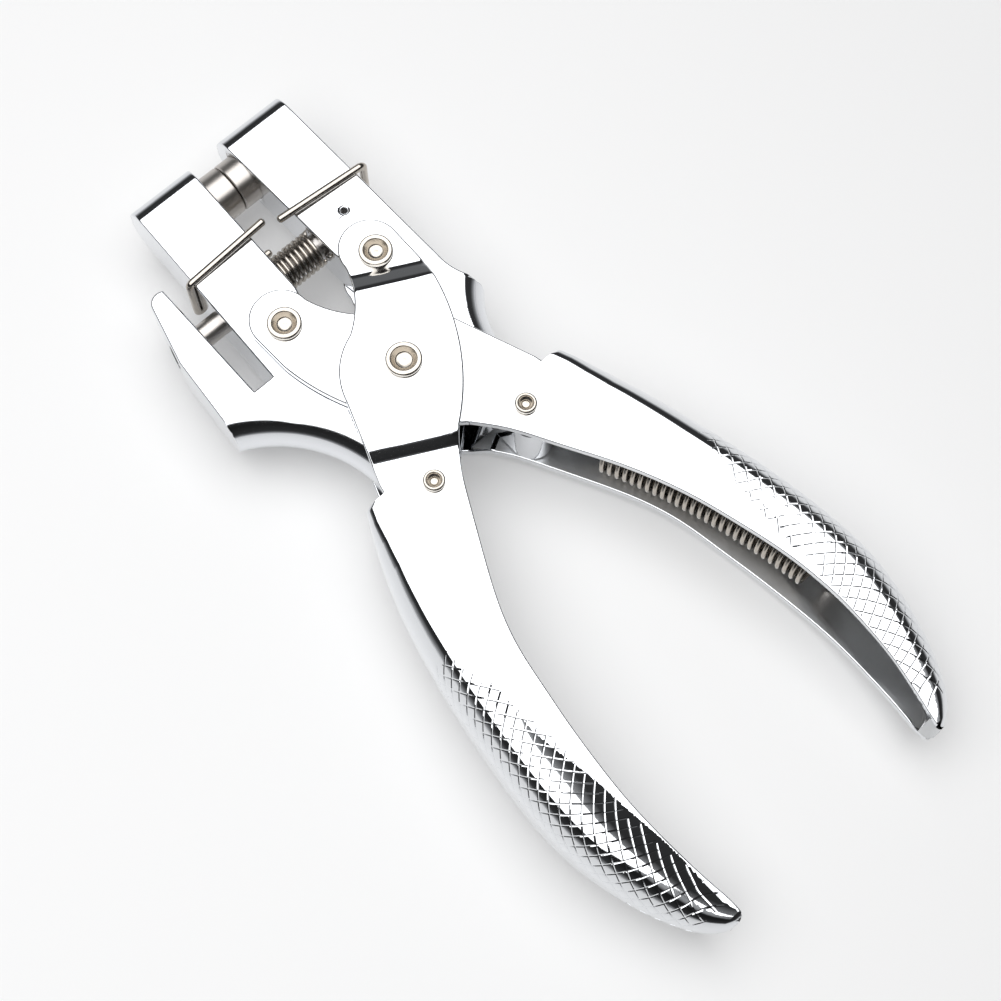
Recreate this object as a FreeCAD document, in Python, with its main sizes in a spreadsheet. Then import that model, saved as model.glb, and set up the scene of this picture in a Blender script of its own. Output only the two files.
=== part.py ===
"""Parallel-jaw hole punch pliers, in millimetres.

X runs along the tool from the jaw tips (-X) to the ends of the grips (+X), Y points to the side of the
upper jaw, and Z points up.  The pivot's axis is the Z axis, and Z = 0 is the plane that the tool lies on.
Everything is drawn about the tool's middle plane and lifted by the sheet's mid_height.
"""
import FreeCAD, Part
import math
import os

import Sketcher

V = FreeCAD.Vector

# Driving dimensions.  Radii end in _rad, half sizes in _half.
DIMENSIONS = {
    # linkage: four rivets on a rectangle round the pivot
    "mid_height": 10.7,
    "link_reach": 21.5,
    "link_rise": 11.5,
    "link_angle": 28.14,
    # stack of plates
    "plate": 1.8,
    "inner_half": 5.9,
    "plate_step": 1.9,
    "fit": 0.02,
    "running": 0.05,
    # jaws
    "jaw_half": 5.8,
    "jaw_tip_fillet": 4.6,
    "rim_round_rad": 6.2,
    "rim_clear": 0.1,
    "jaw_edge_fillet": 0.5,
    "slot_rad": 1.7,
    "slot_start": 21.3,
    "slot_end": 23.6,
    "hook_hole_x": 26.6,
    "hook_hole_rad": 0.55,
    # punch, sleeve and die, on one axis along Y
    "punch_x": -54.8,
    "punch_rad": 3.0,
    "punch_bore_rad": 2.4,
    "punch_tip": 2.2,
    "punch_base": 18.4,
    "sleeve_rad": 5.2,
    "sleeve_front": 1.35,
    "sleeve_back": 8.8,
    "sleeve_bore_depth": 15.6,
    "stripper_rad": 4.7,
    "stripper_wire": 0.7,
    "die_front": 1.05,
    "die_back": 9.6,
    "chip_rad": 3.5,
    "chip_depth": 15.5,
    "chute_y": 13.6,
    "chute_rad": 2.9,
    # guide rod and the spring on it
    "rod_x": -33.4,
    "rod_rad": 2.5,
    "rod_top": 17.0,
    "rod_bottom": 25.4,
    "arm_depth": 34.0,
    "jaw_spring_rad": 3.95,
    "jaw_spring_wire": 0.8,
    "jaw_spring_low": 3.9,
    "jaw_spring_high": 5.5,
    "cross_pin_y": 13.4,
    "cross_pin_rad": 0.75,
    "cross_pin_top": 2.6,
    "cross_pin_bottom": 3.6,
    # gauge wires
    "wire_rad": 0.8,
    "wire_bend": 1.5,
    # rivets
    "pivot_shank_rad": 2.6,
    "pivot_head_rad": 3.55,
    "jaw_shank_rad": 2.4,
    "jaw_head_rad": 3.4,
    "slide_shank_rad": 1.6,
    "slide_head_rad": 2.15,
    "head_high": 1.1,
    "slide_head_high": 0.9,
    "head_round": 0.3,
    "recess_deep": 1.5,
    "pivot_recess_rad": 2.45,
    "jaw_recess_rad": 2.3,
    "slide_recess_rad": 1.4,
    "recess_floor_rad": 0.9,
    "spacer_rad": 3.5,
    # joggle of the outer plate, measured from the pivot along the line of its rivets
    "joggle_front": 16.3,
    "joggle_front_end": 20.3,
    "joggle_back": 15.75,
    "joggle_back_end": 19.2,
    "plate_reach": 34.0,
    # grip channel
    "wall": 1.7,
    "grip_crown": 0.2,
    "channel_lead": 1.0,
    "mouth_lead": 3.0,
    # return spring in the upper grip
    "spring_rad": 4.4,
    "spring_wire": 1.0,
    "anchor_x": 83.4,
    "anchor_y": 34.4,
    "anchor_rad": 1.3,
    "anchor_half": 7.9,
}

# Outlines in plan.  Each row is a corner (x, y) and the radius of the edge that leaves it: 0 for a
# straight edge, positive for an arc that turns left, negative for one that turns right.
OUTLINES = {
    "upper_jaw": [
        (-63.2, 5.0, 0), (-27.0, 5.8, 0), (-18.0, 7.0, 0), (23.5, 7.0, 4.5), (28.0, 11.5, 4.5),
        (23.5, 16.0, 0), (9.0, 18.3, -20.0), (-3.3, 23.4, 0), (-5.0, 22.9, 0), (-8.6, 21.5, -14.0),
        (-14.0, 20.75, 0), (-63.2, 20.3, 0),
    ],
    "lower_jaw": [
        (-62.4, -17.7, 0), (-15.6, -19.7, 0), (-15.6, -24.2, 0), (-43.6, -23.8, 2.6),
        (-42.4, -27.7, 0), (-29.6, -31.1, 0), (-10.4, -32.9, -27.0), (11.0, -18.4, 0),
        (23.5, -16.0, 4.5), (28.0, -11.5, 4.5), (23.5, -7.0, 0), (-18.0, -7.0, 0),
        (-27.0, -4.3, 0), (-62.4, -3.2, 0),
    ],
    # front plates of a handle whose grip is on +Y and whose jaw rivet is on -Y
    "plates": [
        (-29.2, -11.2, 6.2), (-23.0, -17.4, 0), (-14.8, -17.2, 47.0), (16.7, 0.9, 0), (20.0, 4.2, 0),
        (20.0, 20.0, 0), (17.4, 20.0, 0), (15.4, 19.6, 0), (-1.0, 13.5, 14.2), (-10.8, 4.2, -22.0),
        (-23.0, -5.0, 6.2),
    ],
}

# Sections of a grip on +Y: station, inner edge, outer edge, half height, radius of the outer corners, and
# how far the upper inner edge stands back from the middle one and the lower one stands forward of it.
GRIP = [
    (17.0, 1.3, 24.4, 7.7, 4.0, 0.0),
    (22.5, 5.6, 27.1, 7.7, 4.2, 0.0),
    (28.0, 8.8, 29.5, 7.7, 4.6, 0.0),
    (34.0, 12.0, 31.7, 7.7, 5.0, 0.1),
    (40.0, 15.2, 33.5, 7.8, 5.4, 0.2),
    (48.0, 18.9, 35.4, 8.3, 5.8, 0.1),
    (56.0, 21.6, 36.9, 9.1, 6.2, 0.15),
    (64.0, 23.4, 38.1, 9.9, 6.5, 0.35),
    (72.0, 25.0, 39.1, 10.35, 6.7, 0.7),
    (80.0, 26.2, 39.7, 10.5, 6.8, 1.0),
    (88.0, 26.8, 39.6, 10.0, 6.6, 1.15),
    (96.0, 26.7, 38.4, 8.7, 6.0, 1.25),
    (104.0, 26.1, 36.2, 7.0, 5.0, 1.2),
    (110.0, 25.3, 33.5, 5.4, 4.2, 1.15),
    (114.0, 24.7, 30.8, 4.3, 3.3, 1.0),
    (116.8, 24.5, 27.6, 3.3, 2.0, 0.8),
]
CHANNEL_SECTIONS = 15         # the channel stops at this station, and the tip beyond it is solid

# Middle line of the return spring: front end, a point near its middle, and rear end.
SPRING_LINE = [(36.2, 18.6), (62.0, 27.9), (79.5, 31.3)]

# A gauge wire's free end and its bend in plan, for each jaw.
GAUGE_WIRES = {
    "upper_gauge_wire": ((-39.85, 2.0), (-38.2, 23.0)),
    "lower_gauge_wire": ((-41.7, 0.15), (-40.8, -19.95)),
}


def fill_sheet(doc):
    """Write the driving dimensions, the outlines and the grip sections into the sheet Dims."""
    sheet = doc.addObject("Spreadsheet::Sheet", "Dims")
    values = dict(DIMENSIONS)
    for name, corners in OUTLINES.items():
        for i, (x, y, bend) in enumerate(corners):
            values[f"{name}_x{i}"] = x
            values[f"{name}_y{i}"] = y
            if bend:
                values[f"{name}_bend{i}"] = abs(bend)
    for i, section in enumerate(GRIP):
        for word, value in zip(("station", "inner", "outer", "tall", "corner", "splay"), section):
            values[f"grip_{word}{i}"] = value
    for row, (alias, value) in enumerate(values.items(), start=1):
        sheet.set(f"A{row}", alias)
        sheet.set(f"B{row}", str(value))
        sheet.setAlias(f"B{row}", alias)
    doc.recompute()
    return values


class Model:
    """The document, its sheet values, and the finished sub-parts."""

    def __init__(self):
        self.doc = FreeCAD.newDocument("hole_punch_pliers")
        self.values = fill_sheet(self.doc)
        self.nodes = []

    def number(self, text):
        """The value of a sum of sheet names, such as 'inner_half + plate'; 0 for None."""
        total, sign = 0.0, 1
        for word in (text or "").split():
            if word in "+-":
                sign = 1 if word == "+" else -1
            else:
                total += sign * self.values[word]
                sign = 1
        return total

    def formula(self, text):
        """The same sum as an expression on the sheet."""
        return " ".join(word if word in "+-" else f"Dims.{word}" for word in text.split())

    def bind(self, thing, target, text):
        thing.setExpression(target, self.formula(text))

    def body(self, name):
        return self.doc.addObject("PartDesign::Body", name)

    def keep(self, thing, label, turned=False):
        """Name a finished sub-part and lift it to the tool's middle plane."""
        thing.Label = label
        if turned:
            thing.Placement = FreeCAD.Placement(V(0, 0, 0), FreeCAD.Rotation(V(1, 0, 0), 180))
        self.bind(thing, "Placement.Base.z", "mid_height")
        self.nodes.append(thing)
        return thing


# ---- sketches ------------------------------------------------------------------------------------

def sketch_on(model, body, name, role, offset=None):
    """A sketch on one of the body's own origin planes, moved along its normal by offset."""
    plane = [f for f in body.Origin.OriginFeatures if f.Role == role][0]
    sketch = body.newObject("Sketcher::SketchObject", name)
    sketch.AttachmentSupport = [(plane, "")]
    sketch.MapMode = "FlatFace"
    if offset:
        model.bind(sketch, "AttachmentOffset.Base.z", offset)
    return sketch


def hold_point(model, sketch, geometry, point, x, y):
    """Fix a point of the sketch at the sheet's sums x and y (None keeps it on that axis)."""
    for kind, text, axis in (("DistanceX", x, -2), ("DistanceY", y, -1)):
        if text is None:
            sketch.addConstraint(Sketcher.Constraint("PointOnObject", geometry, point, axis))
            continue
        index = sketch.addConstraint(
            Sketcher.Constraint(kind, -1, 1, geometry, point, model.number(text)))
        model.bind(sketch, f"Constraints[{index}]", text)


def negated(text):
    """The negative of a sum of sheet names."""
    swap = {"+": "-", "-": "+"}
    flipped = " ".join(swap.get(word, word) for word in text.split())
    return flipped[2:] if flipped[0] == "+" else f"- {flipped}".replace("- - ", "- ")


def draw_circle(model, sketch, x, y, radius):
    centre = V(model.number(x), model.number(y), 0)
    circle = sketch.addGeometry(Part.Circle(centre, V(0, 0, 1), model.number(radius)))
    hold_point(model, sketch, circle, 3, x, y)
    index = sketch.addConstraint(Sketcher.Constraint("Radius", circle, model.number(radius)))
    model.bind(sketch, f"Constraints[{index}]", radius)


def arc_between(start, end, bend):
    """The short arc from start to end that turns left (bend > 0) or right, and whether it is reversed."""
    chord = end - start
    left = V(-chord.y, chord.x, 0).normalize()
    depth = math.sqrt(max(bend * bend - chord.Length ** 2 / 4, 0))
    centre = (start + end) * 0.5 + left * (depth if bend > 0 else -depth)
    first, last = (start, end) if bend > 0 else (end, start)
    angles = [math.atan2(p.y - centre.y, p.x - centre.x) for p in (first, last)]
    circle = Part.Circle(centre, V(0, 0, 1), abs(bend))
    return Part.ArcOfCircle(circle, angles[0], angles[1]), bend < 0


def draw_loop(model, sketch, corners):
    """A closed outline.  Each corner is (x, y, bend, bend text) with x and y sums of sheet names."""
    points = [V(model.number(x), model.number(y), 0) for x, y, _, _ in corners]
    edges = []
    for i, (_, _, side, bend) in enumerate(corners):
        start, end = points[i], points[(i + 1) % len(points)]
        if side:
            shape, reversed_arc = arc_between(start, end, side * model.number(bend))
            edges.append((sketch.addGeometry(shape), reversed_arc))
        else:
            edges.append((sketch.addGeometry(Part.LineSegment(start, end)), False))
    for i, (edge, reversed_arc) in enumerate(edges):
        following, next_reversed = edges[(i + 1) % len(edges)]
        sketch.addConstraint(Sketcher.Constraint(
            "Coincident", edge, 1 if reversed_arc else 2, following, 2 if next_reversed else 1))
    for i, (x, y, side, bend) in enumerate(corners):
        edge, reversed_arc = edges[i]
        hold_point(model, sketch, edge, 2 if reversed_arc else 1, x, y)
        if side:
            index = sketch.addConstraint(Sketcher.Constraint("Radius", edge, model.number(bend)))
            model.bind(sketch, f"Constraints[{index}]", bend)


def draw_outline(model, sketch, name):
    corners = []
    for i, (_, _, bend) in enumerate(OUTLINES[name]):
        side = (bend > 0) - (bend < 0)
        corners.append((f"{name}_x{i}", f"{name}_y{i}", side, f"{name}_bend{i}"))
    draw_loop(model, sketch, corners)


# ---- features ------------------------------------------------------------------------------------

def extrude(model, body, kind, sketch, length, both_ways=False, flip=False):
    """A Pad or Pocket of the sketch; both_ways takes length as the half on each side."""
    feature = body.newObject(f"PartDesign::{kind}", f"{sketch.Name}_{kind}")
    feature.Profile = sketch
    if both_ways:
        feature.SideType = "Symmetric"
        feature.setExpression("Length", f"2 * ({model.formula(length)})")
    else:
        model.bind(feature, "Length", length)
        feature.Reversed = flip
    feature.Refine = False
    return feature


def bore(model, body, name, role, centre, radius, depth, both_ways=False, flip=False):
    """A round hole cut from an origin plane, which has to take material away."""
    model.doc.recompute()
    before = body.Shape.Volume
    sketch = sketch_on(model, body, name, role)
    draw_circle(model, sketch, centre[0], centre[1], radius)
    extrude(model, body, "Pocket", sketch, depth, both_ways, flip)
    model.doc.recompute()
    if body.Shape.Volume > before - 0.1:
        raise RuntimeError(f"{body.Name}: {name} cuts nothing")


def revolve(model, body, name, corners):
    """A solid of revolution about the body's Z axis from a profile of (radius, height) sums."""
    sketch = sketch_on(model, body, name, "XZ_Plane")
    draw_loop(model, sketch, [(x, y, 0, None) for x, y in corners])
    feature = body.newObject("PartDesign::Revolution", f"{name}_turn")
    feature.Profile = sketch
    feature.ReferenceAxis = (sketch, ["V_Axis"])
    feature.Angle = 360.0
    return feature


def cylinder(model, name, radius, low, high, x=None, y=None):
    """A Part cylinder along Z between the heights low and high, at x, y."""
    shape = model.doc.addObject("Part::Cylinder", name)
    model.bind(shape, "Radius", radius)
    shape.setExpression("Height", f"({model.formula(high)}) - ({model.formula(low)})")
    for target, text in (("x", x), ("y", y), ("z", low)):
        if text:
            model.bind(shape, f"Placement.Base.{target}", text)
    return shape


def pill(model, name, radius, inner, low, high, x):
    """A tube along Y on the middle plane at x, from y = low to y = high; inner is its bore's radius."""
    sleeve = model.body(name)
    sketch = sketch_on(model, sleeve, f"{name}_ring", "XZ_Plane", negated(high))
    draw_circle(model, sketch, x, None, radius)
    if inner:
        draw_circle(model, sketch, x, None, inner)
    pad = sleeve.newObject("PartDesign::Pad", f"{name}_pad")
    pad.Profile = sketch
    pad.setExpression("Length", f"({model.formula(high)}) - ({model.formula(low)})")
    return sleeve


# ---- jaws ----------------------------------------------------------------------------------------

def jaw_blank(model, name, rise_sign):
    """A jaw's plate of its full thickness, with its rivet hole, its tail slot and the hook hole."""
    body = model.body(name)
    sketch = sketch_on(model, body, f"{name}_outline", "XY_Plane")
    draw_outline(model, sketch, name)
    extrude(model, body, "Pad", sketch, "jaw_half", both_ways=True)
    rise = f"{rise_sign} link_rise"
    bore(model, body, f"{name}_rivet_hole", "XY_Plane", ("- link_reach", rise),
         "jaw_shank_rad + running", "jaw_half + plate", both_ways=True)
    slot = sketch_on(model, body, f"{name}_slot", "XY_Plane")
    top, bottom = f"{rise} + slot_rad", f"{rise} - slot_rad"
    draw_loop(model, slot, [
        ("slot_start", bottom, 0, None), ("slot_end", bottom, 1, "slot_rad"),
        ("slot_end", top, 0, None), ("slot_start", top, 1, "slot_rad")])
    extrude(model, body, "Pocket", slot, "jaw_half + plate", both_ways=True)
    return body


def round_edges(model, body, name, radius, wanted):
    """Fillet the edges of the body that the test wanted(edge) picks."""
    model.doc.recompute()
    picked = [f"Edge{i}" for i, edge in enumerate(body.Shape.Edges, start=1) if wanted(edge)]
    if not picked:
        raise RuntimeError(f"{body.Name}: {name} finds no edge")
    base = body.Tip
    fillet = body.newObject("PartDesign::Fillet", name)
    fillet.Base = (base, picked)
    model.bind(fillet, "Radius", radius)
    model.doc.recompute()


def is_tip_edge(half):
    """Test for the two edges across a jaw's tip."""
    def test(edge):
        box = edge.BoundBox
        return box.XMax < -62.0 and box.YLength > 8 and abs(abs(box.ZMin) - half) < 0.01
    return test


def is_rim_edge(half):
    """Test for the long edges of a jaw's two faces, where its outline meets them."""
    def test(edge):
        box = edge.BoundBox
        flat = box.ZLength < 0.01 and abs(abs(box.ZMin) - half) < 0.01
        round_hole = isinstance(edge.Curve, Part.Circle) and edge.Curve.Radius < 3
        return flat and edge.Length > 4.0 and not round_hole and box.XMin < 9.2
    return test


def round_rim(model, body, name):
    """Turn the jaw's one large concave arc, which the hand reaches, into a full round."""
    index = min(range(len(OUTLINES[name])), key=lambda i: OUTLINES[name][i][2])
    (x0, y0, bend), (x1, y1, _) = OUTLINES[name][index:index + 2]
    start, end = V(x0, y0, 0), V(x1, y1, 0)
    chord = end - start
    across = V(chord.y, -chord.x, 0).normalize()
    centre = (start + end) * 0.5 + across * math.sqrt(bend * bend - chord.Length ** 2 / 4)
    sketch = sketch_on(model, body, f"{name}_rim", "XZ_Plane")
    sketch.AttachmentOffset = FreeCAD.Placement(V(centre.x, 0, -centre.y), FreeCAD.Rotation())
    bend_name = f"{name}_bend{index}"
    wall = f"{bend_name} + rim_clear"
    flat = f"{wall} + rim_round_rad"
    draw_loop(model, sketch, [
        (None, "- rim_round_rad - rim_clear", 0, None), (flat, "- rim_round_rad - rim_clear", 0, None),
        (flat, "- rim_round_rad", -1, "rim_round_rad"), (wall, None, -1, "rim_round_rad"),
        (flat, "rim_round_rad", 0, None), (flat, "rim_round_rad + rim_clear", 0, None),
        (None, "rim_round_rad + rim_clear", 0, None)])
    groove = body.newObject("PartDesign::Groove", f"{name}_rim_round")
    groove.Profile = sketch
    groove.ReferenceAxis = (sketch, ["V_Axis"])
    groove.Angle = 360.0
    groove.Refine = False
    model.doc.recompute()


def upper_jaw(model):
    body = jaw_blank(model, "upper_jaw", "+")
    bore(model, body, "rod_seat", "XZ_Plane", ("rod_x", None), "rod_rad + fit", "rod_top")
    bore(model, body, "sleeve_bore", "XZ_Plane", ("punch_x", None), "sleeve_rad + running",
         "sleeve_bore_depth")
    bore(model, body, "punch_seat", "XZ_Plane", ("punch_x", None), "punch_rad + fit", "punch_base")
    bore(model, body, "hook_hole", "XY_Plane", ("hook_hole_x", "link_rise"), "hook_hole_rad",
         "jaw_half + plate", both_ways=True)
    pin = sketch_on(model, body, "cross_pin_hole", "XY_Plane", "- cross_pin_bottom")
    draw_circle(model, pin, "rod_x", "cross_pin_y", "cross_pin_rad + fit")
    extrude(model, body, "Pocket", pin, "cross_pin_bottom + jaw_half + plate", flip=True)
    half = model.number("jaw_half")
    round_edges(model, body, "upper_tip_round", "jaw_tip_fillet", is_tip_edge(half))
    round_edges(model, body, "upper_rim_round", "jaw_edge_fillet", is_rim_edge(half))
    round_rim(model, body, "upper_jaw")
    return model.keep(body, "upper_jaw")


def lower_jaw(model):
    body = jaw_blank(model, "lower_jaw", "-")
    bore(model, body, "die_seat", "XZ_Plane", ("punch_x", None), "sleeve_rad + fit", "die_back", flip=True)
    bore(model, body, "chip_hole", "XZ_Plane", ("punch_x", None), "chip_rad", "chip_depth", flip=True)
    bore(model, body, "chip_chute", "XY_Plane", ("punch_x", "- chute_y"), "chute_rad", "jaw_half + plate")
    bore(model, body, "rod_hole", "XZ_Plane", ("rod_x", None), "rod_rad + running", "arm_depth", flip=True)
    half = model.number("jaw_half")
    round_edges(model, body, "lower_tip_round", "jaw_tip_fillet", is_tip_edge(half))
    round_edges(model, body, "lower_rim_round", "jaw_edge_fillet", is_rim_edge(half))
    round_rim(model, body, "lower_jaw")
    return model.keep(body, "lower_jaw")


# ---- handles -------------------------------------------------------------------------------------

def grip_section(model, body, name, i, inset, lead, mouth):
    """One D-shaped section of the grip, or of its channel when inset by the wall."""
    sketch = sketch_on(model, body, f"{name}_{i}", "YZ_Plane", f"grip_station{i}{lead}")
    low, high = f"- grip_tall{i}", f"grip_tall{i}"
    side, corner = f"grip_outer{i}", f"grip_corner{i}"
    if inset:
        low, high = low + " + wall", high + " - wall"
        side, corner = side + " - wall", corner + " - wall"
    back, edge = f"{side} - {corner.replace('-', '+')}", f"grip_inner{i}{mouth}"
    draw_loop(model, sketch, [
        (f"{edge} - grip_splay{i}", low, 0, None), (back, low, 1, corner),
        (side, f"{low} + {corner}", 0, None),
        (side, f"{high} - {corner.replace('-', '+')}", 1, corner), (back, high, 0, None),
        (f"{edge} + grip_splay{i}", high, 0, None)])
    return sketch


def grip_channel(model, name):
    """The grip: a D-shaped horn, hollowed from its inner side into a channel."""
    body = model.body(f"{name}_grip")
    horn = [grip_section(model, body, f"{name}_horn", i, False, "", "") for i in range(len(GRIP))]
    solid = body.newObject("PartDesign::AdditiveLoft", f"{name}_horn_loft")
    solid.Profile = horn[0]
    solid.Sections = horn[1:]
    model.doc.recompute()
    before = body.Shape.Volume
    leads = [" - channel_lead"] + [""] * (CHANNEL_SECTIONS - 1)
    hollow = [grip_section(model, body, f"{name}_hollow", i, True, leads[i], " - mouth_lead")
              for i in range(CHANNEL_SECTIONS)]
    cut = body.newObject("PartDesign::SubtractiveLoft", f"{name}_hollow_loft")
    cut.Profile = hollow[0]
    cut.Sections = hollow[1:]
    model.doc.recompute()
    if body.Shape.Volume > before * 0.7:
        raise RuntimeError(f"{name}: the channel is not cut")
    return body


def joggled_strip(model, name):
    """A strip along the line of the rivets that steps outwards round the pivot, below the middle plane."""
    body = model.body(f"{name}_strip")
    sketch = sketch_on(model, body, f"{name}_strip_side", "XZ_Plane")
    stations = ["- plate_reach", "- joggle_front_end", "- joggle_front", "joggle_back",
                "joggle_back_end", "plate_reach"]
    steps = ["", "", " - plate_step", " - plate_step", "", ""]
    under = [(x, f"- inner_half - plate{s}", 0, None) for x, s in zip(stations, steps)]
    over = [(x, f"- inner_half{s}", 0, None) for x, s in zip(stations, steps)]
    draw_loop(model, sketch, under + over[::-1])
    extrude(model, body, "Pad", sketch, "plate_reach", both_ways=True)
    model.bind(body, "Placement.Rotation.Angle", "link_angle")
    return body


def joined(model, kind, name, shapes):
    """A Part fuse of several shapes, or a cut or common of two."""
    feature = model.doc.addObject(f"Part::{kind}", name)
    if kind == "MultiFuse":
        feature.Shapes = shapes
        feature.Refine = True
    else:
        feature.Base, feature.Tool = shapes
    return feature


def front_plates(model, name):
    """The flat plate above the jaws and the joggled plate below them, cut to one outline."""
    prism = model.body(f"{name}_prism")
    sketch = sketch_on(model, prism, f"{name}_plates_outline", "XY_Plane")
    draw_outline(model, sketch, "plates")
    extrude(model, prism, "Pad", sketch, "inner_half + plate + plate + plate", both_ways=True)
    slab = model.doc.addObject("Part::Box", f"{name}_slab")
    for side in ("Length", "Width"):
        model.bind(slab, side, "plate_reach + plate_reach")
    model.bind(slab, "Height", "plate")
    for target, text in (("x", "- plate_reach"), ("y", "- plate_reach"), ("z", "inner_half")):
        model.bind(slab, f"Placement.Base.{target}", text)
    layers = joined(model, "MultiFuse", f"{name}_layers", [slab, joggled_strip(model, name)])
    return joined(model, "Common", f"{name}_front", [layers, prism])


def joggle_room(model, name):
    """The space under the raised part of the joggled plate, where the grip's wall has to stop."""
    room = model.doc.addObject("Part::Box", f"{name}_joggle_room")
    model.bind(room, "Length", "joggle_back_end")
    model.bind(room, "Width", "plate_reach")
    model.bind(room, "Height", "inner_half")
    room.setExpression("Placement.Rotation.Angle", "Dims.link_angle")
    turn = "Dims.link_angle"
    room.setExpression("Placement.Base.x", f"Dims.plate_reach / 2 * sin({turn} * 1 deg)")
    room.setExpression("Placement.Base.y", f"-Dims.plate_reach / 2 * cos({turn} * 1 deg)")
    room.setExpression("Placement.Base.z", "-2 * Dims.inner_half")
    return room


def handle(model, name, turned):
    """A handle with its grip on +Y; turned over about X it is the other handle."""
    grip = joined(model, "Cut", f"{name}_grip_cut", [grip_channel(model, name), joggle_room(model, name)])
    blank = joined(model, "MultiFuse", f"{name}_blank", [front_plates(model, name), grip])
    reach = ("- mid_height", "mid_height")
    holes = [
        cylinder(model, f"{name}_pivot_hole", "pivot_shank_rad + running", *reach),
        cylinder(model, f"{name}_jaw_hole", "jaw_shank_rad + fit", *reach, "- link_reach", "- link_rise"),
        cylinder(model, f"{name}_slide_hole", "slide_shank_rad + fit", *reach, "link_reach", "link_rise"),
    ]
    drill = joined(model, "MultiFuse", f"{name}_holes", holes)
    return model.keep(joined(model, "Cut", name, [blank, drill]), name, turned)


# ---- rivets and pins -----------------------------------------------------------------------------

def rivet(model, name, kind, stack, high, x=None, y=None):
    """A semi-tubular rivet: a shank, a solid head below and a clinched head with a cup above."""
    body = model.body(name)
    face = f"{stack} + {high}"
    shank, head, cup = f"{kind}_shank_rad", f"{kind}_head_rad", f"{kind}_recess_rad"
    floor = f"{face} - recess_deep"
    revolve(model, body, f"{name}_profile", [
        (None, floor), ("recess_floor_rad", floor), (cup, face), (head, face), (head, stack),
        (shank, stack), (shank, negated(stack)), (head, negated(stack)), (head, negated(face)),
        (None, negated(face))])
    crown = model.number(face)
    radius = model.number(head)

    def is_outer_rim(edge):
        flat = edge.BoundBox.ZLength < 0.01 and abs(abs(edge.BoundBox.ZMin) - crown) < 0.01
        return flat and abs(edge.BoundBox.XLength - 2 * radius) < 0.01

    round_edges(model, body, f"{name}_rim", "head_round", is_outer_rim)
    for target, text in (("x", x), ("y", y)):
        if text:
            model.bind(body, f"Placement.Base.{target}", text)
    return model.keep(body, name)


def rivets(model):
    outer = "inner_half + plate + plate_step"
    inner = "inner_half + plate"
    grip = "inner_half + plate + grip_crown"
    rivet(model, "pivot_rivet", "pivot", outer, "head_high")
    rivet(model, "upper_jaw_rivet", "jaw", inner, "head_high", "- link_reach", "link_rise")
    rivet(model, "lower_jaw_rivet", "jaw", inner, "head_high", "- link_reach", "- link_rise")
    rivet(model, "upper_slide_pin", "slide", grip, "slide_head_high", "link_reach", "link_rise")
    rivet(model, "lower_slide_pin", "slide", grip, "slide_head_high", "link_reach", "- link_rise")


def pivot_spacer(model):
    body = model.body("pivot_spacer")
    sketch = sketch_on(model, body, "spacer_ring", "XY_Plane")
    draw_circle(model, sketch, None, None, "spacer_rad")
    draw_circle(model, sketch, None, None, "pivot_shank_rad + fit")
    extrude(model, body, "Pad", sketch, "inner_half - fit", both_ways=True)
    model.keep(body, "pivot_spacer")


def straight_pins(model):
    """The guide rod's cross pin and the pin that anchors the return spring."""
    pin = cylinder(model, "rod_cross_pin", "cross_pin_rad", "- cross_pin_bottom", "cross_pin_top",
                   "rod_x", "cross_pin_y")
    model.nodes.append(pin)
    anchor = cylinder(model, "spring_anchor_pin", "anchor_rad", "- anchor_half", "anchor_half",
                      "anchor_x", "anchor_y")
    model.nodes.append(anchor)
    for node, low in ((pin, "- cross_pin_bottom"), (anchor, "- anchor_half")):
        node.Label = node.Name
        model.bind(node, "Placement.Base.z", f"{low} + mid_height")


# ---- punch, die, rod, springs and wires ----------------------------------------------------------

def punch_set(model):
    punch = pill(model, "punch_pin", "punch_rad", "punch_bore_rad", "punch_tip", "punch_base", "punch_x")
    model.keep(punch, "punch_pin")
    sleeve = pill(model, "punch_sleeve", "sleeve_rad", "punch_rad + running", "sleeve_front",
                  "sleeve_back", "punch_x")
    model.keep(sleeve, "punch_sleeve")
    spring = pill(model, "stripper_spring", "stripper_rad", "stripper_rad - stripper_wire",
                  "sleeve_back + fit", "sleeve_bore_depth - fit", "punch_x")
    model.keep(spring, "stripper_spring")
    die = pill(model, "die_bush", "sleeve_rad", "punch_rad + running", "- die_back", "die_front",
               "punch_x")
    model.keep(die, "die_bush")


def guide_rod(model):
    body = pill(model, "guide_rod", "rod_rad", None, "- rod_bottom", "rod_top - fit", "rod_x")
    bore(model, body, "rod_pin_hole", "XY_Plane", ("rod_x", "cross_pin_y"), "cross_pin_rad + fit",
         "jaw_half", both_ways=True)
    model.keep(body, "guide_rod")
    spring = pill(model, "jaw_spring", "jaw_spring_rad", "jaw_spring_rad - jaw_spring_wire",
                  "- jaw_spring_low", "jaw_spring_high", "rod_x")
    model.keep(spring, "jaw_spring")


def bent_wire(points, bend, radius):
    """A round wire along straight runs joined by arcs of one radius."""
    edges, start = [], points[0]
    for before, corner, after in zip(points, points[1:], points[2:]):
        come, leave = (before - corner).normalize(), (after - corner).normalize()
        cut = bend / math.tan(come.getAngle(leave) / 2)
        middle = (come + leave).normalize() * (bend / math.sin(come.getAngle(leave) / 2) - bend)
        first, last = corner + come * cut, corner + leave * cut
        edges.append(Part.LineSegment(start, first).toShape())
        edges.append(Part.Arc(first, corner + middle, last).toShape())
        start = last
    edges.append(Part.LineSegment(start, points[-1]).toShape())
    path = Part.Wire(edges)
    ring = Part.Wire(Part.Circle(points[0], points[1] - points[0], radius).toShape())
    return path.makePipeShell([ring], True, False)


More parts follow.
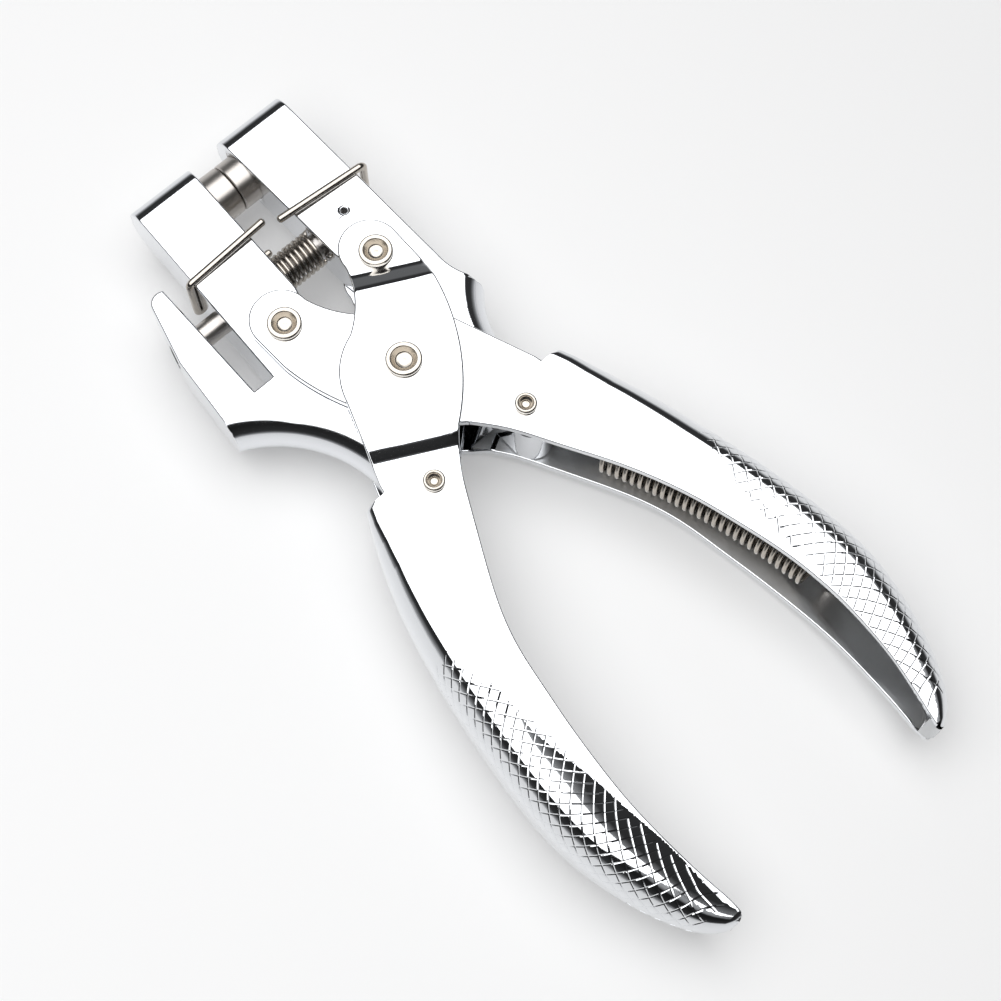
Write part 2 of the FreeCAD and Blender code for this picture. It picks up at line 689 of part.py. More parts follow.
def gauge_wires(model):
    """One wire round each jaw: a leg on either face, joined by a run down the jaw's outer side."""
    height = model.number("jaw_half + fit + wire_rad")
    for name, (free, bend) in GAUGE_WIRES.items():
        path = [V(*free, height), V(*bend, height), V(*bend, -height), V(*free, -height)]
        wire = model.doc.addObject("Part::Feature", name)
        wire.Shape = bent_wire(path, model.number("wire_bend"), model.number("wire_rad"))
        model.keep(wire, name)


def handle_spring(model):
    """The return spring's envelope: a tube bent along the channel."""
    ends = [V(x, y, 0) for x, y in SPRING_LINE]
    arc = Part.Arc(*ends)
    path = Part.Wire(arc.toShape())
    along = arc.tangent(arc.FirstParameter)[0]
    radius = model.number("spring_rad")
    tubes = []
    for size in (radius, radius - model.number("spring_wire")):
        ring = Part.Wire(Part.Circle(ends[0], along, size).toShape())
        tubes.append(path.makePipeShell([ring], True, False))
    spring = model.doc.addObject("Part::Feature", "handle_spring")
    spring.Shape = tubes[0].cut(tubes[1])
    model.keep(spring, "handle_spring")


# ---- checks and output ---------------------------------------------------------------------------

def check_document(model):
    """Stop if any object failed or any sub-part is not a valid solid."""
    for thing in model.doc.Objects:
        if "Invalid" in thing.State or "Error" in thing.State:
            raise RuntimeError(f"{thing.Name} failed: {thing.State}")
    for node in model.nodes:
        shape = node.Shape
        if shape.isNull() or not shape.isValid() or len(shape.Solids) != 1:
            raise RuntimeError(f"{node.Label} is not one valid solid: {len(shape.Solids)}")


def write_nodes(model):
    os.makedirs("parts", exist_ok=True)
    for node in model.nodes:
        node.Shape.exportStep(os.path.join("parts", f"{node.Label}.step"))
        box = node.Shape.BoundBox
        print(f"{node.Label:18s} x {box.XMin:7.2f} {box.XMax:7.2f}  y {box.YMin:7.2f} {box.YMax:7.2f}"
              f"  z {box.ZMin:6.2f} {box.ZMax:6.2f}  volume {node.Shape.Volume:9.1f}")


def main():
    model = Model()
    handle(model, "upper_handle", turned=False)
    handle(model, "lower_handle", turned=True)
    upper_jaw(model)
    lower_jaw(model)
    rivets(model)
    pivot_spacer(model)
    straight_pins(model)
    punch_set(model)
    guide_rod(model)
    gauge_wires(model)
    handle_spring(model)
    model.doc.recompute()
    check_document(model)
    write_nodes(model)


main()
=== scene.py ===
"""Looks of the parallel-jaw hole punch pliers.

Shapes are drawn in millimetres about the tool's middle plane, then lifted into the frame.  A handle is drawn
with its grip on +Y and its joggled plate underneath; turned over about X it is the other handle.
"""

import math
import random

import bmesh
import bpy
import numpy as np
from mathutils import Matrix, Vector


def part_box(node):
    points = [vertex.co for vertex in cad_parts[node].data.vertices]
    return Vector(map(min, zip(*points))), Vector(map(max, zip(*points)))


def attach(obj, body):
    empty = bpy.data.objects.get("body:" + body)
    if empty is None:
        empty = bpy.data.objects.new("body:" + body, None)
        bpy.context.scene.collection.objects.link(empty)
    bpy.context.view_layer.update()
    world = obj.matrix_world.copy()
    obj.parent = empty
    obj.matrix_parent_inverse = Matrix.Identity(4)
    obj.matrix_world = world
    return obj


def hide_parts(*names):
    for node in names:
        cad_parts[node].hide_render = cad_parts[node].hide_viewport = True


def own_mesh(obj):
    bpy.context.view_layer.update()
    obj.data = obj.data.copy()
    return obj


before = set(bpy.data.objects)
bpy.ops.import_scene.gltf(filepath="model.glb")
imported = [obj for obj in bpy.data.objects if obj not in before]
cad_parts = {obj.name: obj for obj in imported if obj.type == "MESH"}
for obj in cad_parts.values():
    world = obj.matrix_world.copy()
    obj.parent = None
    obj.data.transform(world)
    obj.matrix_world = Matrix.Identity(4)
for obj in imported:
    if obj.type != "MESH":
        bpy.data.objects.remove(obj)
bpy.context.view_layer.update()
MM = 0.001
ROOT2 = math.sqrt(2)

rivet_low, rivet_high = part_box("pivot_rivet")
MID = (rivet_low.z + rivet_high.z) / 2 / MM

# Stack of plates, as half heights from the middle plane.
INNER_HALF, PLATE, STEP, JAW_HALF = 5.9, 1.8, 1.9, 5.8
FLAT_TOP = INNER_HALF + PLATE
LINK = (21.5, 11.5)
LINK_DIRECTION = Vector((math.cos(math.radians(28.14)), math.sin(math.radians(28.14)), 0))
FRONT_BEND, REAR_BEND = (-20.3, -16.3), (15.75, 19.2)
BEND_ROUND = 0.7

# Outlines in plan, anticlockwise: corner x, y, and the radius of the arc that leaves it.  Right turns are
# negative.
PLATES = [
    (-29.2, -11.2, 6.2), (-23.0, -17.4, 0), (-14.8, -17.2, 47.0), (16.7, 0.9, 0), (18.5, 2.55, 0),
    (20.0, 3.75, 0), (22.5, 5.6, 0), (22.5, 20.0, 0), (17.4, 20.0, 0), (15.4, 19.6, 0), (-1.0, 13.5, 14.2),
    (-10.8, 4.2, -22.0), (-23.0, -5.0, 6.2),
]
UPPER_RIM, LOWER_RIM = 20.0, 27.0
UPPER_JAW = [
    (-63.2, 5.0, 0), (-27.0, 5.8, 0), (-18.0, 7.0, 0), (23.5, 7.0, 4.5), (28.0, 11.5, 4.5), (23.5, 16.0, 0),
    (9.0, 18.3, -UPPER_RIM), (-3.3, 23.4, 1.2), (-5.0, 22.9, 0), (-8.6, 21.5, -14.0), (-14.0, 20.75, 0),
    (-63.2, 20.3, 0),
]
LOWER_JAW = [
    (-62.4, -17.7, 0), (-15.6, -19.7, 0), (-15.6, -24.2, 0), (-43.6, -23.8, 2.6), (-42.4, -27.7, 0),
    (-29.6, -31.1, 0), (-10.4, -32.9, -LOWER_RIM), (11.0, -18.4, 0), (23.5, -16.0, 4.5), (28.0, -11.5, 4.5),
    (23.5, -7.0, 0), (-18.0, -7.0, 0), (-27.0, -4.3, 0), (-62.4, -3.2, 0),
]

# Sections of a grip: station, inner edge, outer edge, half height, radius of the knees beside its top.
GRIP = np.array([
    (17.0, 1.3, 24.4, 7.7, 3.0), (22.5, 5.6, 27.1, 7.7, 3.0), (28.0, 8.8, 29.5, 7.7, 3.1),
    (34.0, 12.0, 31.7, 7.7, 3.3), (40.0, 15.2, 33.5, 7.8, 3.5), (48.0, 18.9, 35.4, 8.3, 3.7),
    (56.0, 21.6, 36.9, 9.1, 3.9), (64.0, 23.4, 38.1, 9.9, 4.1), (72.0, 25.0, 39.1, 10.35, 4.3),
    (80.0, 26.2, 39.7, 10.5, 4.4), (88.0, 26.8, 39.6, 10.0, 4.4), (96.0, 26.7, 38.4, 8.7, 4.0),
    (104.0, 26.1, 36.2, 7.0, 3.5), (110.0, 25.3, 33.5, 5.4, 2.9), (114.0, 24.7, 30.8, 4.3, 2.4),
    (116.8, 24.5, 27.6, 3.3, 1.8),
])
# Along the grip: half the difference between its two inner edges, then width and depth of the fall from the
# crest towards them.
FLANKS = np.array([
    (17.0, 0.0, 0.5, 0.0), (34.0, 0.1, 0.6, 0.0), (40.0, 0.2, 1.0, 0.05), (50.0, 0.1, 1.8, 0.15),
    (60.0, 0.25, 2.3, 0.3), (70.0, 0.6, 3.2, 0.7), (80.0, 1.0, 5.6, 1.5), (90.0, 1.15, 6.6, 2.1),
    (100.0, 1.25, 6.4, 2.0), (108.0, 1.15, 4.8, 1.3), (114.0, 1.0, 3.0, 0.7), (116.8, 0.8, 1.6, 0.3),
])
# Jaws: rounding of their tips and concave rims, places of the punch and rod, and depth of the rod's hole.
TIP_ROUND, RIM_ROUND = 4.6, 6.2
PUNCH_X, ROD_X, PIN_Y, ROD_HOLE = -54.8, -33.4, 13.4, 34.0

# Return spring: the line of its coils, and the pin that holds its end.
SPRING_LINE = [Vector((36.2, 18.6, 0)), Vector((62.0, 27.9, 0)), Vector((79.5, 31.3, 0))]
SPRING_TURNS = 28
ANCHOR = Vector((83.4, 34.4, 0))

GRIP_START, GRIP_END, CHANNEL_CLOSE, CHANNEL_END = 17.0, 116.8, 106.0, 114.0
WALL, LIP, NOSE, FRONT = 1.7, 0.3, 1.35, 0.6
# The knee turns through this angle below the top; the side's radius goes on from there, by station.
KNEE = math.radians(42)
FLANK_BEND = 1.3
SIDES = np.array([(17.0, 2.0), (20.0, 3.0), (24.0, 5.5), (29.0, 7.5), (36.0, 8.4), (45.0, 9.0), (116.8, 9.0)])

# Knurl: pitch between grooves, half width and depth of a groove, and its inner limit on the flat faces.
PITCH, GROOVE_HALF, GROOVE_DEPTH = 2.05, 0.2, 0.07
KNURL_START, KNURL_END = 47.2, 113.0
LATTICE = 6
KNURL_LIMIT = np.array([(44.0, 32.5), (48.0, 31.6), (58.4, 29.5), (76.6, 28.0), (85.0, 28.0), (93.0, 27.4),
                        (100.0, 26.7), (106.0, 25.6), (117.0, 24.6)])


# ---- curves ----------------------------------------------------------------------------------------------

def natural_spline(xs, ys):
    """A function for the smooth curve through the points."""
    n, h = len(xs), np.diff(xs)
    matrix, right = np.eye(n), np.zeros(n)
    for i in range(1, n - 1):
        matrix[i, i - 1:i + 2] = h[i - 1], 2 * (h[i - 1] + h[i]), h[i]
        right[i] = 6 * ((ys[i + 1] - ys[i]) / h[i] - (ys[i] - ys[i - 1]) / h[i - 1])
    bend = np.linalg.solve(matrix, right)

    def curve(x):
        x = np.asarray(x, float)
        i = np.clip(np.searchsorted(xs, x) - 1, 0, n - 2)
        a, b = (xs[i + 1] - x) / h[i], (x - xs[i]) / h[i]
        return (a * ys[i] + b * ys[i + 1]
                + ((a ** 3 - a) * bend[i] + (b ** 3 - b) * bend[i + 1]) * h[i] ** 2 / 6)
    return curve


def smooth_step(x, start, end):
    t = np.clip((np.asarray(x, float) - start) / (end - start), 0, 1)
    return t * t * (3 - 2 * t)


def knee(x, at, half):
    """0 before at, x - at after it, with the corner rounded over half each side."""
    return np.where(x < at - half, 0, np.where(x > at + half, x - at, (x - at + half) ** 2 / (4 * half)))


def arc_centre(start, end, bend):
    """Centre of the arc between two points; left turns have a positive radius."""
    chord = np.subtract(end, start)
    length = math.hypot(*chord)
    left = np.array((-chord[1], chord[0])) / length
    height = math.sqrt(max(bend ** 2 - length ** 2 / 4, 0))
    return np.add(start, end) / 2 + left * math.copysign(height, bend)


def trace(corners, step=0.5):
    """Points along a closed outline of straight edges and arcs."""
    points = []
    for (x0, y0, bend), (x1, y1, _) in zip(corners, corners[1:] + corners[:1]):
        start, end = np.array((x0, y0)), np.array((x1, y1))
        chord = end - start
        length = math.hypot(*chord)
        if not bend:
            count = max(1, math.ceil(length / step))
            points += [start + chord * i / count for i in range(count)]
            continue
        centre = arc_centre(start, end, bend)
        first, last = (math.atan2(*(p - centre)[::-1]) for p in (start, end))
        turn = (last - first) % math.tau if bend > 0 else -((first - last) % math.tau)
        count = max(2, math.ceil(abs(turn * bend) / step))
        angles = first + turn * np.arange(count) / count
        points += list(centre + abs(bend) * np.stack((np.cos(angles), np.sin(angles)), 1))
    return np.array(points)


def ring(x, y, radius, count=48):
    angles = np.arange(count) * math.tau / count
    return np.stack((x + radius * np.cos(angles), y + radius * np.sin(angles)), 1)


def inward(points):
    """Offset directions into an anticlockwise outline, lengthened at its sharp corners."""
    before = points - np.roll(points, 1, 0)
    before /= np.linalg.norm(before, axis=1, keepdims=True)
    after = np.roll(before, -1, 0)
    both = before + after
    size = np.linalg.norm(both, axis=1, keepdims=True)
    return np.stack((-both[:, 1], both[:, 0]), 1) / size / np.clip(size / 2, 0.6, 1)


# ---- meshes ----------------------------------------------------------------------------------------------

def skin_rings(bm, rings, closed=True):
    """Quads between neighbouring rings of vertices."""
    for low, high in zip(rings, rings[1:]):
        for i in range(len(low) if closed else len(low) - 1):
            j = (i + 1) % len(low)
            bm.faces.new((low[i], low[j], high[j], high[i]))


def turn_to(bm, direction):
    """Turn an evenly wound skin over if its faces don't look the way asked on the whole."""
    bm.normal_update()
    if sum((f.normal * f.calc_area() for f in bm.faces), Vector()).dot(Vector(direction)) < 0:
        bmesh.ops.reverse_faces(bm, faces=bm.faces)


def slab(outline, low, high, inset, drop, holes=(), rows=4):
    """A plate with rounded rims: inset and drop are the rim's rounding in plan and in height."""
    bm = bmesh.new()
    normal = inward(outline)
    inset, drop = (np.broadcast_to(v, len(outline)) for v in (inset, drop))
    rings = []
    for k in range(2 * rows + 2):
        upper = k > rows
        angle = math.pi / 2 * ((k - rows - 1) if upper else (rows - k)) / rows
        plan = outline + normal * (inset * (1 - math.cos(angle)))[:, None]
        fall = drop * (1 - math.sin(angle))
        heights = high - fall if upper else low + fall
        rings.append([bm.verts.new((*p, z)) for p, z in zip(plan, heights)])
    skin_rings(bm, rings)
    tubes = [[[bm.verts.new((*p, z)) for p in hole] for z in (low, high)] for hole in holes]
    for tube in tubes:
        skin_rings(bm, tube)
    for end in (0, 1):
        rims = [rings[-end]] + [tube[end] for tube in tubes]
        edges = [bm.edges.get((r[i - 1], r[i])) for r in rims for i in range(len(r))]
        bmesh.ops.triangle_fill(bm, use_beauty=True, edges=edges)
    bmesh.ops.recalc_face_normals(bm, faces=bm.faces)
    return bm


def cut_rows(bm, direction, distances, faces=None):
    """Cut the mesh into strips by planes across a direction."""
    for distance in distances:
        chosen = faces(bm) if faces else bm.faces[:]
        verts, edges = {v for f in chosen for v in f.verts}, {e for f in chosen for e in f.edges}
        bmesh.ops.bisect_plane(bm, geom=[*verts, *edges, *chosen], dist=1e-6,
                               plane_co=direction * distance, plane_no=direction)


def lathe(profile, count=64):
    """A solid turned about Z from (radius, height) points that start and end on the axis."""
    bm = bmesh.new()
    rings = []
    for radius, z in profile[1:-1]:
        rings.append([bm.verts.new((radius * math.cos(a), radius * math.sin(a), z))
                      for a in np.arange(count) * math.tau / count])
    skin_rings(bm, rings)
    for end, edge in ((profile[0], rings[0]), (profile[-1], rings[-1])):
        tip = bm.verts.new((0, 0, end[1]))
        for i in range(count):
            bm.faces.new((edge[i - 1], edge[i], tip))
    bmesh.ops.recalc_face_normals(bm, faces=bm.faces)
    return bm


def rounded(corners, steps=5):
    """A profile with its corners rounded: rows are (radius, height, rounding)."""
    points = []
    for i, (x, z, size) in enumerate(corners):
        here = Vector((x, z))
        if not size or i in (0, len(corners) - 1):
            points.append(tuple(here))
            continue
        before, after = (Vector(corners[j][:2]) for j in (i - 1, i + 1))
        start = here + (before - here).normalized() * size
        end = here + (after - here).normalized() * size
        for k in range(steps + 1):
            t = k / steps
            points.append(tuple(start * (1 - t) ** 2 + here * 2 * t * (1 - t) + end * t ** 2))
    return points


def tube(points, radius, sides=12, caps=True):
    """A round wire along the points, with rounded ends."""
    points = [Vector(p) for p in points]
    tangents = [(points[min(i + 1, len(points) - 1)] - points[max(i - 1, 0)]).normalized()
                for i in range(len(points))]
    across = tangents[0].orthogonal().normalized()
    stations = []
    for point, tangent in zip(points, tangents):
        across = (across - tangent * across.dot(tangent)).normalized()
        stations.append((point, tangent, across, 1.0))
    if caps:
        for end, sign in ((0, -1), (-1, 1)):
            point, tangent, side, _ = stations[end]
            domes = [(point + tangent * sign * radius * 0.8 * math.sin(a), tangent, side, math.cos(a))
                     for a in (0.35, 0.7, 1.05, 1.35)]
            stations = domes[::-1] + stations if end == 0 else stations + domes
    bm = bmesh.new()
    rings = []
    for point, tangent, side, scale in stations:
        other = tangent.cross(side)
        rings.append([bm.verts.new(point + (side * math.cos(a) + other * math.sin(a)) * radius * scale)
                      for a in np.arange(sides) * math.tau / sides])
    skin_rings(bm, rings)
    for last in (rings[0], rings[-1]):
        bm.faces.new(last)
    bmesh.ops.recalc_face_normals(bm, faces=bm.faces)
    return bm


def shifted(bm, move=(0, 0, 0), turn=None):
    """The mesh with its axis laid along +Y if asked, then moved."""
    for v in bm.verts:
        if turn == "y":
            v.co = Vector((v.co.x, v.co.z, -v.co.y))
        v.co += Vector(move)
    return bm


def merge(first, *others):
    for other in others:
        mesh = bpy.data.meshes.new("part")
        other.to_mesh(mesh)
        first.from_mesh(mesh)
        bpy.data.meshes.remove(mesh)
        other.free()
    return first


def piece(bm, name, body, nodes, material, turned=False, sharp=38):
    """Put a finished mesh into the frame as a piece of one body, standing for the CAD nodes."""
    for v in bm.verts:
        x, y, z = v.co
        if turned:
            y, z = -y, -z
        v.co = Vector((x, y, z + MID)) * MM
    mesh = bpy.data.meshes.new(name)
    bm.to_mesh(mesh)
    bm.free()
    mesh.shade_smooth()
    mesh.set_sharp_from_angle(angle=math.radians(sharp))
    mesh.materials.append(material)
    thing = bpy.data.objects.new(name, mesh)
    bpy.context.collection.objects.link(thing)
    shade_evenly(thing, turned)
    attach(thing, body)
    if nodes:
        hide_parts(*nodes)
    return thing


def shade_evenly(thing, turned=False):
    """Give large flat faces their own normals, and a drawn skin the exact normals it was made with."""
    even = thing.modifiers.new("even_shading", "WEIGHTED_NORMAL")
    even.keep_sharp = True
    graph = bpy.context.evaluated_depsgraph_get()
    mesh = bpy.data.meshes.new_from_object(thing.evaluated_get(graph))
    thing.modifiers.clear()
    thing.data = mesh
    if "facing" not in mesh.attributes:
        return
    normals = np.array([n.vector for n in mesh.corner_normals])
    facing = np.zeros(len(mesh.vertices) * 3, np.float32)
    mesh.attributes["facing"].data.foreach_get("vector", facing)
    facing = facing.reshape(-1, 3) * ((1, -1, -1) if turned else (1, 1, 1))
    kind = np.zeros(len(mesh.polygons), np.int32)
    mesh.attributes["smooth"].data.foreach_get("value", kind)
    for polygon in mesh.polygons:
        for loop in polygon.loop_indices:
            if kind[polygon.index] == 1:
                normals[loop] = facing[mesh.loops[loop].vertex_index]
            elif kind[polygon.index] == 2:
                normals[loop] = polygon.normal
    mesh.normals_split_custom_set(normals)


# ---- materials -------------------------------------------------------------------------------------------

def metal(name, color, roughness, grain, depth, stretch=(1, 1, 1), patches=0.0):
    """Polished metal: slow patches in its roughness, and a fine grain in its surface."""
    material = bpy.data.materials.new(name)
    material.use_nodes = True
    tree = material.node_tree
    shader = tree.nodes["Principled BSDF"]
    shader.inputs["Base Color"].default_value = (*color, 1)
    shader.inputs["Metallic"].default_value = 1.0
    place = tree.nodes.new("ShaderNodeTexCoord")
    scale = tree.nodes.new("ShaderNodeMapping")
    scale.inputs["Scale"].default_value = stretch
    tree.links.new(place.outputs["Object"], scale.inputs["Vector"])
    slow = tree.nodes.new("ShaderNodeTexNoise")
    slow.inputs["Scale"].default_value = 90.0
    slow.inputs["Detail"].default_value = 3.0
    tree.links.new(place.outputs["Object"], slow.inputs["Vector"])
    spread = tree.nodes.new("ShaderNodeMapRange")
    spread.inputs["To Min"].default_value = roughness * (1 - patches)
    spread.inputs["To Max"].default_value = roughness * (1 + patches)
    tree.links.new(slow.outputs["Fac"], spread.inputs["Value"])
    tree.links.new(spread.outputs["Result"], shader.inputs["Roughness"])
    fine = tree.nodes.new("ShaderNodeTexNoise")
    fine.inputs["Scale"].default_value = grain
    fine.inputs["Detail"].default_value = 2.0
    tree.links.new(scale.outputs["Vector"], fine.inputs["Vector"])
    bump = tree.nodes.new("ShaderNodeBump")
    bump.inputs["Strength"].default_value = 1.0
    bump.inputs["Distance"].default_value = depth
    tree.links.new(fine.outputs["Fac"], bump.inputs["Height"])
    tree.links.new(bump.outputs["Normal"], shader.inputs["Normal"])
    return material


CHROME = metal("chrome_plate", (0.80, 0.815, 0.835), 0.06, 900, 0.0000010, patches=0.35)
SATIN = metal("chrome_channel", (0.72, 0.73, 0.74), 0.34, 700, 0.000004, (1, 1, 6), patches=0.2)
CASTING = metal("chrome_casting", (0.79, 0.805, 0.83), 0.09, 500, 0.0000030, patches=0.4)
NICKEL = metal("nickel_rivet", (0.56, 0.52, 0.465), 0.22, 2500, 0.000006, patches=0.5)
STEEL = metal("tool_steel", (0.56, 0.53, 0.50), 0.3, 1500, 0.000004, (1, 14, 1), patches=0.3)
# Near-black steel for the rod cross pin's end: painted shade, since that end only shows deep down its narrow
# bore.
PIN_SHADE_BLACK = metal("pin_bore_painted_shade", (0.06, 0.055, 0.05), 0.45, 1500, 0.000004, patches=0.3)
SPRING = metal("spring_steel", (0.52, 0.48, 0.43), 0.2, 1600, 0.000003, patches=0.3)


# ---- handles ---------------------------------------------------------------------------------------------

def curves(table):
    """A smooth curve for each column of a table against its first column."""
    return [natural_spline(table[:, 0], column) for column in table.T[1:]]


inner_curve, outer_curve, tall_curve, knee_curve = curves(GRIP)
splay_curve, width_curve, fall_curve = curves(FLANKS)


def grip_size(x, side):
    """Inner and outer edge, half height and knee radius at the stations x, on the grip's + or - side."""
    x = np.clip(x, GRIP_START, GRIP_END)
    short = np.clip(NOSE - (GRIP_END - x), 0, NOSE)
    nose = NOSE - np.sqrt(NOSE ** 2 - short ** 2)
    inner, outer = inner_curve(x) + splay_curve(x) * side + nose, outer_curve(x) - nose
    tall = np.where(x < 34, 7.7, np.maximum(tall_curve(x), 3)) - nose
    knee_size = np.clip(knee_curve(x) - nose, 0.05, 0.5 * (outer - inner))
    return inner, outer, tall, knee_size


def grip_shape(x, side, wall=0.0):
    """The section's measures: inner, outer, half height, knee and side radii, straight part and crest."""
    inner, outer, tall, first = grip_size(x, side)
    fall, width = np.maximum(fall_curve(x), 0), np.maximum(width_curve(x), 0.3)
    side_size = np.interp(x, SIDES[:, 0], SIDES[:, 1])
    second = np.minimum(side_size, (tall - first * (1 - math.cos(KNEE))) / math.cos(KNEE))
    second = np.minimum(second, (outer - inner - first * math.sin(KNEE)) * 0.9 / (1 - math.sin(KNEE)))
    if wall:
        outer, tall = outer - wall, tall - wall
        first, second = np.maximum(first - wall, 0.1), np.maximum(second - wall, 0.1)
    straight = np.maximum(tall - first * (1 - math.cos(KNEE)) - second * math.cos(KNEE), 0)
    crest = outer - second * (1 - math.sin(KNEE)) - first * math.sin(KNEE)
    return inner, outer, tall, first, second, straight, crest, fall, width


def grip_skin(x, q, wall=0.0):
    """Points of the grip's skin.  q runs from -3 (lower mouth edge) over 0 (outer side) to 3."""
    side, size = np.where(q < 0, -1.0, 1.0), np.abs(q)
    inner, outer, tall, first, second, straight, crest, fall, width = grip_shape(x, side, wall)
    lip = LIP * np.ones_like(x)
    if wall:
        close = np.clip((x - CHANNEL_CLOSE) / (CHANNEL_END - CHANNEL_CLOSE), 0, 1)
        lip = LIP * (1 - smooth_step(x, CHANNEL_END - 3, CHANNEL_END - 0.5))
        shrink = np.sqrt(1 - close ** 2)
        outer, crest = inner + (outer - inner) * shrink, inner + (crest - inner) * shrink
        second, first = second * shrink, first * shrink
    turn = math.pi / 2 - np.clip((size - 1) * 2, 0, 1) * (math.pi / 2 - KNEE)
    bend = KNEE * (1 - np.clip((size - 1.5) * 2, 0, 1))
    y = outer - second * (1 - np.sin(turn)) - first * (math.sin(KNEE) - np.sin(bend))
    z = straight * np.clip(size, 0, 1) + second * np.cos(turn) + first * (np.cos(bend) - math.cos(KNEE))
    flat = np.clip(size - 2, 0, None) * np.maximum(crest - inner - lip, 0)
    y, z = y - flat, z - fall * np.clip(flat / width, 0, 1) ** FLANK_BEND
    if not wall:
        front = FRONT * (1 - np.sqrt(1 - np.clip(1.0 - (x - GRIP_START) / FRONT, 0, 1) ** 2))
        front = front * (1 - smooth_step(size, 1.55, 2.0))
        y, z = y - front * np.sin(turn), z - front * np.cos(turn)
    return np.stack((x, y, side * z), 1)


def skin_normals(x, q):
    """Outward normals of the grip's skin."""
    small = 0.004
    low, high = np.clip(x - small, GRIP_START, None), np.clip(x + small, None, GRIP_END)
    along = grip_skin(high, q) - grip_skin(low, q)
    around = grip_skin(x, q + small) - grip_skin(x, q - small)
    normal = np.cross(around, along)
    away = np.stack((0 * x, np.cos(np.clip(np.abs(q) - 1, 0, 1) * math.pi / 2) + 1e-3, np.sign(q)), 1)
    normal *= np.sign((normal * away).sum(1))[:, None]
    size = np.linalg.norm(normal, axis=1, keepdims=True)
    return normal / np.maximum(size, 1e-12)


def knurl_lattice():
    """The knurl over the whole grip: station, section place and groove depth of each vertex."""
    stations = np.linspace(GRIP_START, GRIP_END, 400)
    run = np.concatenate(([0], np.cumsum(np.hypot(np.diff(stations), np.diff(outer_curve(stations))))))
    reach, half = run[-1] + 2 * PITCH, 31.0
    steps = np.array([0, GROOVE_HALF, 0.6, PITCH / 2, PITCH - 0.6, PITCH - GROOVE_HALF])
    first, last = -half / ROOT2, (reach + half) / ROOT2
    lines = np.arange(math.floor(first / PITCH), math.ceil(last / PITCH))
    u = (lines[:, None] * PITCH + steps).ravel()
    count = len(u)
    uu, vv = (a.ravel() for a in np.meshgrid(u, u, indexing="ij"))
    s, t = (uu + vv) / ROOT2, (uu - vv) / ROOT2

    base = np.interp(s, run, stations)
    base = base + np.where(s < 0, s, 0) + np.where(s > run[-1], s - run[-1], 0)
    away, sign = np.abs(t), np.where(t < 0, -1.0, 1.0)
    inner, outer, tall, first, second, side, crest, _, _ = grip_shape(base, sign)
    ahead, behind = (np.clip(base + step, GRIP_START, GRIP_END) for step in (0.5, -0.5))
    slope = np.arctan(outer_curve(ahead) - outer_curve(behind))
    slope = slope * smooth_step(base, 38, 46) * (1 - smooth_step(base, 111, 115))
    large, small = second * (math.pi / 2 - KNEE), first * KNEE
    turn = math.pi / 2 - np.clip((away - side) / second, 0, math.pi / 2 - KNEE)
    bend = KNEE - np.clip((away - side - large) / first, 0, KNEE)
    depth_in = second * (1 - np.sin(turn)) + first * (math.sin(KNEE) - np.sin(bend))
    depth_in = depth_in + np.clip(away - side - large - small, 0, None)
    x = base + depth_in * np.sin(slope)
    y = outer - depth_in * np.cos(slope)
    inner2, _, _, _, _, _, crest2, _, _ = grip_shape(np.clip(x, GRIP_START, GRIP_END), sign)
    top = 2 + (crest2 - y) / (crest2 - inner2 - LIP)
    q = np.where(away <= side, away / np.maximum(side, 1e-6),
                 np.where(away <= side + large, 1 + (away - side) / large / 2,
                          np.where(away <= side + large + small, 1.5 + (away - side - large) / small / 2,
                                   np.maximum(top, 2))))
    chance = random.Random(11)
    ragged = {n: chance.uniform(-0.8, 0.8) for n in range(-200, 400)}
    groove = np.zeros(count * count)
    limit = np.interp(x, KNURL_LIMIT[:, 0], KNURL_LIMIT[:, 1])
    index = np.arange(count)
    for row in (index[:, None], index[None, :]):
        line = np.broadcast_to(row // LATTICE, (count, count)).ravel()
        on = np.broadcast_to(row % LATTICE == 0, (count, count)).ravel()
        shift = np.array([ragged[n] for n in line])
        fade = smooth_step(x, KNURL_START + shift, KNURL_START + shift + 1.4)
        fade = fade * (1 - smooth_step(x, KNURL_END - 0.9, KNURL_END))
        fade = fade * smooth_step(y, limit + 0.7 * shift - 0.3, limit + 0.7 * shift + 0.5)
        groove = np.maximum(groove, np.where(on, fade, 0))
    inside = (s > -1.2 * PITCH) & (s < reach) & (q < 3.6) & (x > GRIP_START - 3) & (x < GRIP_END + 3)
    return x, q * np.sign(t), groove, inside, count


